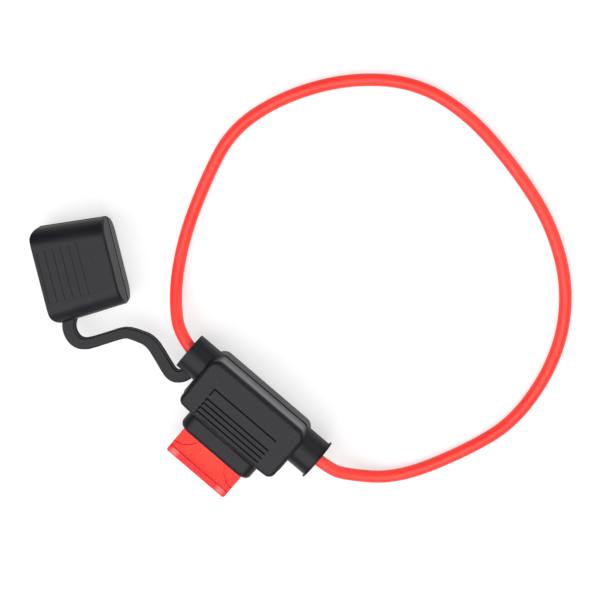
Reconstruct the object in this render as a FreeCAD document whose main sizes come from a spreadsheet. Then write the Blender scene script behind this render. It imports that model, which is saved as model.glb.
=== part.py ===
import FreeCAD, Part
import math
import os

import Sketcher

Vector = FreeCAD.Vector
Placement = FreeCAD.Placement
Rotation = FreeCAD.Rotation

doc = FreeCAD.newDocument("fuse_holder")

# Driving sizes in millimetres

SIZES = {
    # the moulded housing: a flat box that holds the contacts
    "body_length": 31.2,
    "body_front": 11.0,
    "body_back": 5.1,
    "body_height": 14.0,
    "back_corner": 3.0,
    "front_corner": 2.2,
    "front_bow": 0.5,
    "edge_round": 1.2,
    "draft_angle": 2.5,
    "parting_step": 0.2,
    # the collar round the fuse, which the cap slides over
    "collar_width": 22.4,
    "collar_length": 4.7,
    "collar_height": 9.0,
    "collar_round": 3.2,
    "collar_rim": 1.5,
    "collar_root": 1.0,
    "groove_reach": 0.3,
    "groove_width": 0.7,
    "groove_depth": 0.6,
    "groove_rise": 0.05,
    # the two gland tubes on the wire's axis
    "gland_diameter": 10.0,
    "gland_length": 5.8,
    "gland_mouth": 5.4,
    "gland_flare": 3.4,
    "lip_rise": 0.6,
    "lip_width": 0.35,
    # grip grooves across the flat face
    "grip_width": 20.4,
    "grip_groove": 0.4,
    "grip_depth": 0.35,
    "grip_pitch": 1.35,
    "grip_rows": 4.0,
    "grip_first": 1.3,
    "grip_step": 3.1,
    "grip_hook": 1.9,
    "grip_tick": 0.6,
    # the plug-in blade fuse
    "fuse_width": 19.1,
    "fuse_thickness": 5.1,
    "fuse_plate": 4.3,
    "fuse_length": 12.0,
    "fuse_proud": 7.4,
    "fuse_rim": 1.7,
    "scallop_radius": 5.7,
    "scallop_depth": 0.4,
    "scallop_outset": 0.25,
    "scallop_inset": 1.4,
    "rim_corner": 0.6,
    "blade_width": 5.2,
    "blade_thickness": 0.65,
    "blade_reach": 7.0,
    "blade_root": 1.6,
    "blade_pitch": 13.6,
    "blade_chamfer": 0.8,
    "link_width": 1.2,
    "link_crown": 1.6,
    "link_room": 1.0,
    "fuse_clearance": 0.3,
    # the two spring contacts
    "sheet": 0.4,
    "contact_slip": 0.06,
    "contact_gap": 1.2,
    "contact_clearance": 0.15,
    "contact_setback": 0.3,
    "well_room": 0.3,
    "barrel_diameter": 2.5,
    "barrel_end": 13.8,
    # the lead
    "wire_diameter": 3.15,
    "wire_clearance": 0.05,
    "conductor_diameter": 1.5,
    "strip_length": 3.6,
    "strip_gap": 0.4,
    # the cap and its strap
    "cap_length": 19.6,
    "cap_wall": 1.3,
    "cap_taper": 1.5,
    "cap_clearance": 0.2,
    "cap_corner": 3.0,
    "cap_edge": 0.5,
    "cap_end_slope": 0.35,
    "cap_seam_width": 0.22,
    "cap_seam_depth": 0.2,
    "cap_place_x": 56.0,
    "cap_place_y": 2.1,
    "cap_rib_pitch": 2.14,
    "cap_rib_rows": 6.0,
    "cap_rib_first": 0.95,
    "cap_rib_width": 1.07,
    "cap_rib_depth": 0.18,
    "cap_rib_length": 13.4,
    "strap_width": 2.9,
    "strap_height": 2.6,
    "strap_clearance": 0.3,
    "strap_root": 2.8,
}

sheet = doc.addObject("Spreadsheet::Sheet", "sizes")
for row, (alias, value) in enumerate(SIZES.items(), start=1):
    sheet.set("A%d" % row, alias)
    sheet.set("B%d" % row, str(value))
    sheet.setAlias("B%d" % row, alias)
doc.recompute()


def mm(alias):
    """The number that the sheet holds for one size."""
    return float(sheet.get(alias))


# Levels and places that several pieces share

wire_level = "(sizes.body_height / 2)"
mouth_y = "(sizes.body_front + sizes.collar_length)"
fuse_outer_y = "(%s + sizes.fuse_proud)" % mouth_y
fuse_seat_y = "(%s - sizes.fuse_length)" % fuse_outer_y
gland_end_x = "(sizes.body_length / 2 + sizes.gland_length)"
blade_x = "(sizes.blade_pitch / 2)"
contact_inner = "(sizes.blade_width + 4 * sizes.contact_slip)"
contact_outer = "(%s + 2 * sizes.sheet)" % contact_inner
contact_slot = "(sizes.blade_thickness + 2 * sizes.contact_slip)"
contact_height = "(%s + 2 * sizes.sheet)" % contact_slot
strip_x = "(sizes.barrel_end + sizes.strip_gap)"

WIRE_LEVEL = mm("body_height") / 2
MOUTH_Y = -(mm("body_front") + mm("collar_length"))

# Where the open cap lies on the bench, and which way it is turned

CAP_CENTRE = Vector(-mm("cap_place_x"), -mm("cap_place_y"), 0)
CAP_TURN = -36.5

# The strap's centre line, from the gland to the cap

STRAP_ROOT_X = -(mm("body_length") / 2 + mm("strap_root"))
STRAP_ROOT_Y = -(mm("gland_diameter") / 2 + mm("strap_clearance") + mm("strap_width") / 2)
STRAP_ROUTE = [
    Vector(STRAP_ROOT_X, STRAP_ROOT_Y, 0),
    Vector(-19.9, -9.1, 0),
    Vector(-34.8, -3.8, 0),
    Vector(-45.2, -20.5, 0),
    Vector(-50.7, -14.0, 0),
]
STRAP_TANGENTS = [1.2, 6.0, 4.2]

# The lead's route, from one contact round to the other, lying on the bench

WIRE_ROUTE = [
    Vector(-14.2, 0.0, 7.0),
    Vector(-24.4, 0.0, 7.0),
    Vector(-33.8, 7.9, 3.6),
    Vector(-41.2, 20.2, 1.6),
    Vector(-46.2, 35.3, 1.6),
    Vector(-49.1, 49.1, 1.6),
    Vector(-44.8, 63.3, 1.6),
    Vector(-35.4, 77.4, 1.6),
    Vector(-22.1, 87.7, 1.6),
    Vector(-6.7, 90.5, 1.6),
    Vector(11.7, 87.7, 1.6),
    Vector(27.4, 82.8, 1.6),
    Vector(41.2, 73.1, 1.6),
    Vector(50.0, 58.8, 1.6),
    Vector(52.9, 40.2, 1.6),
    Vector(48.7, 25.9, 1.6),
    Vector(40.3, 8.7, 1.8),
    Vector(29.7, 1.4, 4.6),
    Vector(24.4, 0.0, 7.0),
    Vector(14.2, 0.0, 7.0),
]
ARC_SHARE = 0.45


# Sketch and feature helpers

def new_body(label):
    """An empty body with its own origin planes."""
    body = doc.addObject("PartDesign::Body", label)
    body.Label = label
    return body


def new_sketch(body, name, role, offset=None):
    """A sketch on one origin plane, lifted off it by an expression where one is given."""
    sketch = body.newObject("Sketcher::SketchObject", name)
    plane = [f for f in body.Origin.OriginFeatures if f.Role == role][0]
    sketch.AttachmentSupport = (plane, [""])
    sketch.MapMode = "FlatFace"
    if offset:
        sketch.setExpression(".AttachmentOffset.Base.z", offset)
    return sketch


def pin(sketch, geometry, point, axis, expression):
    """Holds a point at a signed distance from the sketch's centre; a leading minus is the far side."""
    kind = "DistanceX" if axis == "x" else "DistanceY"
    place = sketch.getPoint(geometry, point)
    now = place.x if axis == "x" else place.y
    if expression.startswith("-"):
        constraint = Sketcher.Constraint(kind, geometry, point, -1, 1, -now)
        expression = expression[1:]
    else:
        constraint = Sketcher.Constraint(kind, -1, 1, geometry, point, now)
    index = sketch.addConstraint(constraint)
    sketch.setExpression("Constraints[%d]" % index, expression)


def add_box(sketch, left, right, low, high, near):
    """A rectangle held by its four sides' places; near is its rough extent."""
    x0, x1, y0, y1 = near
    corners = [Vector(x0, y0, 0), Vector(x1, y0, 0), Vector(x1, y1, 0), Vector(x0, y1, 0)]
    first = sketch.GeometryCount
    for i in range(4):
        sketch.addGeometry(Part.LineSegment(corners[i], corners[(i + 1) % 4]), False)
    for i in range(4):
        sketch.addConstraint(Sketcher.Constraint("Coincident", first + i, 2, first + (i + 1) % 4, 1))
    for i, kind in enumerate(["Horizontal", "Vertical", "Horizontal", "Vertical"]):
        sketch.addConstraint(Sketcher.Constraint(kind, first + i))
    pin(sketch, first, 1, "x", left)
    pin(sketch, first, 1, "y", low)
    pin(sketch, first + 1, 2, "x", right)
    pin(sketch, first + 1, 2, "y", high)


def add_circle(sketch, x, y, radius, near):
    """A circle held by its centre and radius; a centre on an axis is given as an empty string."""
    index = sketch.addGeometry(Part.Circle(Vector(near[0], near[1], 0), Vector(0, 0, 1), near[2]), False)
    for axis, expression in (("x", x), ("y", y)):
        if expression:
            pin(sketch, index, 3, axis, expression)
        else:
            kind = "DistanceX" if axis == "x" else "DistanceY"
            sketch.addConstraint(Sketcher.Constraint(kind, -1, 1, index, 3, 0.0))
    held = sketch.addConstraint(Sketcher.Constraint("Radius", index, near[2]))
    sketch.setExpression("Constraints[%d]" % held, radius)


def new_pad(body, sketch, name, length, both_ways=False, back=False):
    """Adds the sketch's area, pulled out by an expression."""
    pad = body.newObject("PartDesign::Pad", name)
    pad.Profile = sketch
    pad.setExpression("Length", length)
    pad.Midplane = both_ways
    pad.Reversed = back
    doc.recompute()
    return pad


def new_pocket(body, sketch, name, length, both_ways=False, back=False):
    """Takes the sketch's area away, and stops if that cuts nothing."""
    before = body.Shape.Volume
    pocket = body.newObject("PartDesign::Pocket", name)
    pocket.Profile = sketch
    pocket.setExpression("Length", length)
    pocket.Midplane = both_ways
    pocket.Reversed = back
    doc.recompute()
    if body.Shape.Volume > before - 1e-4:
        raise RuntimeError("%s cut nothing" % name)
    return pocket


def edges_where(shape, test):
    """Names of the edges whose middle point and direction pass a test."""
    names = []
    for number, edge in enumerate(shape.Edges, start=1):
        middle = edge.CenterOfMass
        box = edge.BoundBox
        if test(middle, box, edge):
            names.append("Edge%d" % number)
    return names


def round_edges(body, name, radius, test):
    """Rounds the edges of the body so far that pass a test."""
    base = body.Tip
    names = edges_where(base.Shape, test)
    if not names:
        raise RuntimeError("%s found no edge" % name)
    fillet = body.newObject("PartDesign::Fillet", name)
    fillet.Base = (base, names)
    fillet.setExpression("Radius", radius)
    doc.recompute()
    if fillet.Shape.isNull():
        raise RuntimeError("%s failed" % name)
    return fillet


def is_near(value, goal, room=0.02):
    return abs(value - goal) < room


# The moulded housing

def make_housing():
    body = new_body("housing")
    parting = body.newObject("PartDesign::Plane", "parting")
    parting.AttachmentSupport = ([f for f in body.Origin.OriginFeatures if f.Role == "XY_Plane"][0], [""])
    parting.MapMode = "FlatFace"
    parting.setExpression(".AttachmentOffset.Base.z", wire_level)
    add_half(body, parting, "upper_half", True)
    add_half(body, parting, "lower_half", False)
    top = mm("body_height")
    round_edges(body, "outer_edges", "sizes.edge_round",
                lambda m, b, e: is_near(b.ZMin, b.ZMax) and (is_near(m.z, top) or is_near(m.z, 0)))

    tube = new_sketch(body, "gland_section", "YZ_Plane")
    add_circle(tube, "", wire_level, "sizes.gland_diameter / 2", (0, 7, 5))
    new_pad(body, tube, "glands", "2 * %s" % gland_end_x, both_ways=True)
    lip = new_sketch(body, "lip_section", "YZ_Plane", gland_end_x)
    add_circle(lip, "", wire_level, "sizes.gland_diameter / 2 + sizes.lip_rise", (0, 7, 5.6))
    new_pad(body, lip, "lip", "sizes.lip_width", back=True)

    add_collar(body)
    cut_root_groove(body)
    cut_socket(body)
    cut_wire_way(body)
    cut_grip(body)
    return body


def add_half(body, parting, name, upward):
    """One half of the block, with its sides leaning in from the plane where the mould parts."""
    step = "0 * sizes.parting_step" if upward else "sizes.parting_step"
    side = "(sizes.body_length / 2 + %s)" % step
    back = "(sizes.body_back + %s)" % step
    front = "(sizes.body_front - sizes.front_bow)"
    plan = new_sketch(body, "%s_plan" % name, "XY_Plane", wire_level)
    corners = [Vector(-15.6, -10.5, 0), Vector(-15.6, 6.2, 0), Vector(15.6, 6.2, 0), Vector(15.6, -10.5, 0)]
    for i in range(3):
        plan.addGeometry(Part.LineSegment(corners[i], corners[i + 1]), False)
    plan.addGeometry(Part.Arc(corners[0], Vector(0, -11, 0), corners[3]), False)
    plan.addConstraint(Sketcher.Constraint("Coincident", 0, 2, 1, 1))
    plan.addConstraint(Sketcher.Constraint("Coincident", 1, 2, 2, 1))
    plan.addConstraint(Sketcher.Constraint("Coincident", 3, 1, 0, 1))
    plan.addConstraint(Sketcher.Constraint("Coincident", 3, 2, 2, 2))
    pin(plan, 0, 1, "x", "-" + side)
    pin(plan, 0, 1, "y", "-" + front)
    pin(plan, 0, 2, "x", "-" + side)
    pin(plan, 1, 2, "x", side)
    pin(plan, 0, 2, "y", back)
    pin(plan, 1, 2, "y", back)
    pin(plan, 2, 2, "x", side)
    pin(plan, 2, 2, "y", "-" + front)
    held = plan.addConstraint(Sketcher.Constraint("Radius", 3, 243.0))
    plan.setExpression("Constraints[%d]" % held,
                       "(%s ^ 2 + sizes.front_bow ^ 2) / (2 * sizes.front_bow)" % side)
    new_pad(body, plan, name, "sizes.body_height / 2", back=not upward)

    def is_here(m, b):
        return b.ZLength > mm("body_height") / 2 - 0.1 and (m.z > WIRE_LEVEL) == upward

    round_edges(body, "%s_back_corners" % name, "sizes.back_corner",
                lambda m, b, e: is_here(m, b) and b.XLength < 0.01 and b.YLength < 0.01 and m.y > 0)
    round_edges(body, "%s_front_corners" % name, "sizes.front_corner",
                lambda m, b, e: is_here(m, b) and b.XLength < 0.01 and b.YLength < 0.01 and m.y < -5)
    base = body.Tip
    sides = ["Face%d" % number for number, face in enumerate(base.Shape.Faces, start=1)
             if is_here(face.CenterOfMass, face.BoundBox)]
    lean = body.newObject("PartDesign::Draft", "%s_draft" % name)
    lean.Base = (base, sides)
    lean.NeutralPlane = (parting, [""])
    lean.Reversed = not upward
    lean.setExpression("Angle", "sizes.draft_angle")
    doc.recompute()
    level = mm("body_height") if upward else 0.0
    width = max(e.BoundBox.XMax for e in body.Shape.Edges if is_near(e.BoundBox.ZMin, level)
                and is_near(e.BoundBox.ZMax, level))
    print(name, "faces leaned", len(sides), "half width at the flat", round(width, 2))


def add_collar(body):
    """The neck round the fuse: a flat tongue with round sides and a soft rim."""
    section = new_sketch(body, "collar_section", "XZ_Plane", mouth_y)
    rise = "sizes.collar_height / 2"
    add_box(section, "-sizes.collar_width / 2", "sizes.collar_width / 2", "%s - %s" % (wire_level, rise),
            "%s + %s" % (wire_level, rise), (-11, 11, 3, 11))
    new_pad(body, section, "collar", "sizes.collar_length + sizes.collar_root", back=True)

    front = -mm("body_front")
    round_edges(body, "collar_sides", "sizes.collar_round",
                lambda m, b, e: b.YLength > mm("collar_length") - 0.1 and m.y < front
                and b.XLength < 0.01 and b.ZLength < 0.01)
    round_edges(body, "collar_mouth", "sizes.collar_rim",
                lambda m, b, e: is_near(b.YMin, MOUTH_Y) and is_near(b.YMax, MOUTH_Y))


def add_octagon(sketch, wide, high, corner, near):
    """A rectangle with its corners cut, round the collar's middle; near is its rough half sizes."""
    a, b, c = near
    level = WIRE_LEVEL
    flank = "(%s - %s)" % (wide, corner)
    above = "(%s + %s)" % (wire_level, high)
    below = "(%s - %s)" % (wire_level, high)
    upper = "(%s + %s - %s)" % (wire_level, high, corner)
    lower = "(%s - %s + %s)" % (wire_level, high, corner)
    add_polygon(sketch, [
        (a - c, level - b, flank, below),
        (a, level - b + c, wide, lower),
        (a, level + b - c, wide, upper),
        (a - c, level + b, flank, above),
        (c - a, level + b, "-" + flank, above),
        (-a, level + b - c, "-" + wide, upper),
        (-a, level - b + c, "-" + wide, lower),
        (c - a, level - b, "-" + flank, below),
    ])


def cut_root_groove(body):
    """A relief groove round the collar, where it leaves the block."""
    groove = new_sketch(body, "root_groove_section", "XZ_Plane", "(sizes.body_front + sizes.groove_reach)")
    for room, near in (("sizes.groove_rise", (11.25, 4.55, 1.85)),
                       ("-sizes.groove_depth", (10.6, 3.9, 1.5))):
        wide = "(sizes.collar_width / 2 + %s)" % room
        high = "(sizes.collar_height / 2 + %s)" % room
        corner = "((2 - sqrt(2)) * (sizes.collar_round + %s))" % room
        add_octagon(groove, wide, high, corner, near)
    new_pocket(body, groove, "root_groove", "sizes.groove_width")


def cut_socket(body):
    """The slot that the fuse plugs into, and behind it the two wells for the contacts."""
    start = "%s + 2" % mouth_y
    slot = new_sketch(body, "socket_section", "XZ_Plane", start)
    half = "(sizes.fuse_width / 2 + sizes.fuse_clearance)"
    rise = "(sizes.fuse_thickness / 2 + sizes.fuse_clearance)"
    add_box(slot, "-%s" % half, half, "%s - %s" % (wire_level, rise), "%s + %s" % (wire_level, rise),
            (-9.8, 9.8, 4, 10))
    new_pocket(body, slot, "socket", "%s - %s" % (start, fuse_seat_y))

    for side, name in ((-1, "left"), (1, "right")):
        well = new_sketch(body, "well_section_%s" % name, "XZ_Plane", start)
        near_edge = "(%s - %s / 2 - sizes.contact_clearance)" % (blade_x, contact_outer)
        far_edge = "(%s + %s / 2 + sizes.contact_clearance)" % (blade_x, contact_outer)
        low = "%s - %s / 2 - sizes.contact_clearance" % (wire_level, contact_height)
        high = "%s + %s / 2 + sizes.contact_clearance" % (wire_level, contact_height)
        if side > 0:
            add_box(well, near_edge, far_edge, low, high, (3, 10, 6, 8))
        else:
            add_box(well, "-" + far_edge, "-" + near_edge, low, high, (-10, -3, 6, 8))
        new_pocket(body, well, "well_%s" % name, "%s + sizes.barrel_diameter / 2 + sizes.well_room" % start)


def cut_wire_way(body):
    """A bore down each gland for the lead and its crimp, belled at its mouth."""
    for side, name in ((-1, "left"), (1, "right")):
        sign = "" if side > 0 else "-"
        bore = new_sketch(body, "bore_section_%s" % name, "YZ_Plane", "%s%s" % (sign, gland_end_x))
        add_circle(bore, "", wire_level, "sizes.wire_diameter / 2 + sizes.wire_clearance", (0, 7, 1.4))
        new_pocket(body, bore, "bore_%s" % name, "%s - %s" % (gland_end_x, blade_x), back=side < 0)

        bell = body.newObject("PartDesign::SubtractiveCone", "bell_%s" % name)
        bell.setExpression("Radius1", "sizes.wire_diameter / 2 + sizes.wire_clearance")
        bell.setExpression("Radius2", "sizes.gland_mouth / 2")
        bell.setExpression("Height", "sizes.gland_flare")
        plane = [f for f in body.Origin.OriginFeatures if f.Role == "YZ_Plane"][0]
        bell.AttachmentSupport = (plane, [""])
        bell.MapMode = "FlatFace"
        bell.AttachmentOffset = Placement(Vector(0, WIRE_LEVEL, 0), Rotation(Vector(1, 0, 0), 0 if side > 0 else 180))
        bell.setExpression(".AttachmentOffset.Base.y", wire_level)
        bell.setExpression(".AttachmentOffset.Base.z", "%s(%s - sizes.gland_flare)" % (sign, gland_end_x))
        doc.recompute()


def cut_grip(body):
    """Grip lines on both flat faces: one apart and a ladder of four, each with a tick at its left end."""
    for face, name in ((1, "top"), (0, "under")):
        offset = "sizes.body_height" if face else None
        lines = new_sketch(body, "grip_lines_%s" % name, "XY_Plane", offset)
        add_grip_line(lines, "sizes.grip_first", "sizes.grip_hook")
        for number in range(int(mm("grip_rows"))):
            start = "(sizes.grip_first + sizes.grip_step + %d * sizes.grip_pitch)" % number
            add_grip_line(lines, start, "sizes.grip_tick")
        new_pocket(body, lines, "grip_cut_%s" % name, "sizes.grip_depth", back=not face)


def add_grip_line(sketch, start, tick):
    """A thin line along the face with its left end turned towards the fuse."""
    number = sketch.GeometryCount / 6
    half = "(sizes.grip_width / 2)"
    y0 = -(1.3 if number == 0 else 4.4 + 1.35 * (number - 1))
    y1 = y0 - 0.4
    y2 = y1 - (1.9 if number == 0 else 0.6)
    inner = "(%s - sizes.grip_groove)" % half
    low = "(%s + sizes.grip_groove)" % start
    end = "(%s + %s)" % (low, tick)
    add_polygon(sketch, [
        (-10.2, y0, "-" + half, "-(%s)" % start),
        (10.2, y0, half, "-(%s)" % start),
        (10.2, y1, half, "-" + low),
        (-9.8, y1, "-" + inner, "-" + low),
        (-9.8, y2, "-" + inner, "-" + end),
        (-10.2, y2, "-" + half, "-" + end),
    ])


# The fuse

def make_fuse_body():
    body = new_body("fuse_body")
    level = "%s - sizes.fuse_plate / 2" % wire_level
    half = "sizes.fuse_width / 2"
    plate = new_sketch(body, "plate_plan", "XY_Plane", level)
    add_box(plate, "-%s" % half, half, "-%s" % fuse_outer_y, "-%s" % fuse_seat_y, (-9, 9, -23, -11))
    new_pad(body, plate, "plate", "sizes.fuse_plate")

    for face, name in ((1, "top"), (-1, "under")):
        offset = "%s + sizes.fuse_plate / 2" % wire_level if face > 0 else level
        dent = new_sketch(body, "dent_plan_%s" % name, "XY_Plane", offset)
        for side in (-1, 1):
            x = "%s + sizes.scallop_outset" % half
            add_circle(dent, "-(%s)" % x if side < 0 else x, "-(%s - sizes.scallop_inset)" % mouth_y, "sizes.scallop_radius",
                       (9.8 * side, -14.3, 5.7))
        new_pocket(body, dent, "dents_%s" % name, "sizes.scallop_depth", back=face < 0)

    rim = new_sketch(body, "rim_plan", "XY_Plane", "%s - sizes.fuse_thickness / 2" % wire_level)
    add_box(rim, "-%s" % half, half, "-%s" % fuse_outer_y, "-(%s - sizes.fuse_rim)" % fuse_outer_y,
            (-9, 9, -23, -21))
    new_pad(body, rim, "rim", "sizes.fuse_thickness")

    outer = -(mm("body_front") + mm("collar_length") + mm("fuse_proud"))
    wide = mm("fuse_width") / 2
    round_edges(body, "rim_corners", "sizes.rim_corner",
                lambda m, b, e: b.ZLength > 1 and b.XLength < 0.01 and b.YLength < 0.01
                and is_near(m.y, outer) and is_near(abs(m.x), wide))

    # slots for the two blades, and the window for the link between them
    for side, name in ((-1, "left"), (1, "right")):
        slot = new_sketch(body, "blade_slot_%s" % name, "XZ_Plane", fuse_seat_y)
        near_edge = "(%s - sizes.blade_width / 2)" % blade_x
        far_edge = "(%s + sizes.blade_width / 2)" % blade_x
        low = "%s - sizes.blade_thickness / 2" % wire_level
        high = "%s + sizes.blade_thickness / 2" % wire_level
        if side > 0:
            add_box(slot, near_edge, far_edge, low, high, (4, 9, 6, 8))
        else:
            add_box(slot, "-" + far_edge, "-" + near_edge, low, high, (-9, -4, 6, 8))
        new_pocket(body, slot, "blade_way_%s" % name, "sizes.fuse_length - sizes.blade_root", back=True)
    window = new_sketch(body, "window_section", "XZ_Plane", fuse_seat_y)
    inner = "(%s - sizes.blade_width / 2)" % blade_x
    add_box(window, "-" + inner, inner, "%s - 3 * sizes.blade_thickness / 2" % wire_level,
            "%s + 3 * sizes.blade_thickness / 2" % wire_level, (-4, 4, 6, 8))
    new_pocket(body, window, "window", "sizes.fuse_length - sizes.blade_root - sizes.link_room", back=True)
    return body


def make_fuse_blades():
    """One stamping: two blades joined by an arched link that melts when the current is too high."""
    body = new_body("fuse_blades")
    level = "%s - sizes.blade_thickness / 2" % wire_level
    arch = new_sketch(body, "link_plan", "XY_Plane", level)
    crown = "(%s - sizes.blade_root - sizes.link_crown)" % fuse_outer_y
    inner = "(%s - sizes.blade_width / 2)" % blade_x
    bar = "(%s + sizes.link_width)" % inner
    add_box(arch, "-(%s)" % bar, "(%s)" % bar, "-%s" % crown, "-(%s - sizes.link_width)" % crown,
            (-5, 5, -20, -19))
    new_pad(body, arch, "link", "sizes.blade_thickness")
    blades = new_sketch(body, "blade_plan", "XY_Plane", level)
    far_edge = "(%s + sizes.blade_width / 2)" % blade_x
    root = "-(%s - sizes.blade_root)" % fuse_outer_y
    tip = "-(%s - sizes.blade_reach)" % fuse_seat_y
    add_box(blades, inner, far_edge, root, tip, (4, 9, -21, -4))
    add_box(blades, "-" + far_edge, "-" + inner, root, tip, (-9, -4, -21, -4))
    new_pad(body, blades, "blades", "sizes.blade_thickness")
    tip_y = -(mm("body_front") + mm("collar_length") + mm("fuse_proud") - mm("fuse_length")
              - mm("blade_reach"))
    names = edges_where(body.Tip.Shape, lambda m, b, e: b.ZLength > 0.1 and b.XLength < 0.01
                        and is_near(m.y, tip_y))
    base = body.Tip
    bevel = body.newObject("PartDesign::Chamfer", "tips")
    bevel.Base = (base, names)
    bevel.setExpression("Size", "sizes.blade_chamfer")
    doc.recompute()
    return body


# The contacts

def make_contact(name, side):
    """A strip folded into a flat box that grips the blade, with a crimped barrel on its side."""
    body = new_body(name)
    sign = "" if side > 0 else "-"

    def span(sketch, near_x, far_x, low, high, near):
        x0, x1, y0, y1 = near
        if side > 0:
            add_box(sketch, near_x, far_x, low, high, near)
        else:
            add_box(sketch, "-" + far_x, "-" + near_x, low, high, (-x1, -x0, y0, y1))

    start = "(%s - sizes.contact_setback)" % fuse_seat_y
    box = new_sketch(body, "%s_section" % name, "XZ_Plane", start)
    span(box, "(%s - %s / 2)" % (blade_x, contact_outer), "(%s + %s / 2)" % (blade_x, contact_outer),
         "%s - %s / 2" % (wire_level, contact_height), "%s + %s / 2" % (wire_level, contact_height),
         (4, 10, 6, 8))
    new_pad(body, box, "%s_box" % name, "%s - sizes.barrel_diameter / 2" % start, back=True)

    tail = new_sketch(body, "%s_tail_section" % name, "XZ_Plane", start)
    span(tail, "(%s - %s / 2)" % (blade_x, contact_outer), "(%s + %s / 2)" % (blade_x, contact_outer),
         "%s - %s / 2" % (wire_level, contact_height),
         "%s - %s / 2 + sizes.sheet" % (wire_level, contact_height), (4, 10, 6, 6.5))
    new_pad(body, tail, "%s_tail" % name, "%s + sizes.barrel_diameter / 2" % start, back=True)

    barrel = new_sketch(body, "%s_barrel_section" % name, "YZ_Plane", "%ssizes.barrel_end" % sign)
    add_circle(barrel, "", wire_level, "sizes.barrel_diameter / 2", (0, 7, 1.2))
    new_pad(body, barrel, "%s_barrel" % name,
            "sizes.barrel_end - %s - %s / 2 + sizes.sheet" % (blade_x, contact_outer), back=side > 0)

    inside = new_sketch(body, "%s_inside_section" % name, "XZ_Plane", "%s + 1" % start)
    span(inside, "(%s - %s / 2)" % (blade_x, contact_inner), "(%s + %s / 2)" % (blade_x, contact_inner),
         "%s - %s / 2" % (wire_level, contact_slot), "%s + %s / 2" % (wire_level, contact_slot),
         (4, 9, 6.5, 7.5))
    new_pocket(body, inside, "%s_inside" % name, "%s + 1 - sizes.barrel_diameter / 2 - sizes.sheet" % start)

    seam = new_sketch(body, "%s_seam_section" % name, "XZ_Plane", "%s + 1" % start)
    span(seam, "(%s - sizes.contact_gap / 2)" % blade_x, "(%s + sizes.contact_gap / 2)" % blade_x,
         wire_level, "%s + %s / 2 + 1" % (wire_level, contact_height), (6, 7.4, 7, 9))
    new_pocket(body, seam, "%s_seam" % name, "%s + 1 - sizes.barrel_diameter / 2 - sizes.sheet" % start)

    bore = new_sketch(body, "%s_bore_section" % name, "YZ_Plane", "%ssizes.barrel_end" % sign)
    add_circle(bore, "", wire_level, "sizes.conductor_diameter / 2", (0, 7, 0.75))
    new_pocket(body, bore, "%s_bore" % name, "sizes.strip_length - sizes.strip_gap", back=side < 0)
    return body


def make_strands(name, side):
    """The lead's bare strands, twisted and squeezed inside the crimped barrel."""
    strands = doc.addObject("Part::Cylinder", name)
    strands.Label = name
    strands.setExpression("Radius", "sizes.conductor_diameter / 2")
    strands.setExpression("Height", "sizes.strip_length")
    strands.Placement = Placement(Vector(0, 0, 0), Rotation(Vector(0, 1, 0), -90 * side))
    strands.setExpression(".Placement.Base.x", "%s%s" % ("" if side > 0 else "-", strip_x))
    strands.setExpression(".Placement.Base.z", wire_level)
    return strands


# The cap

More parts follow.
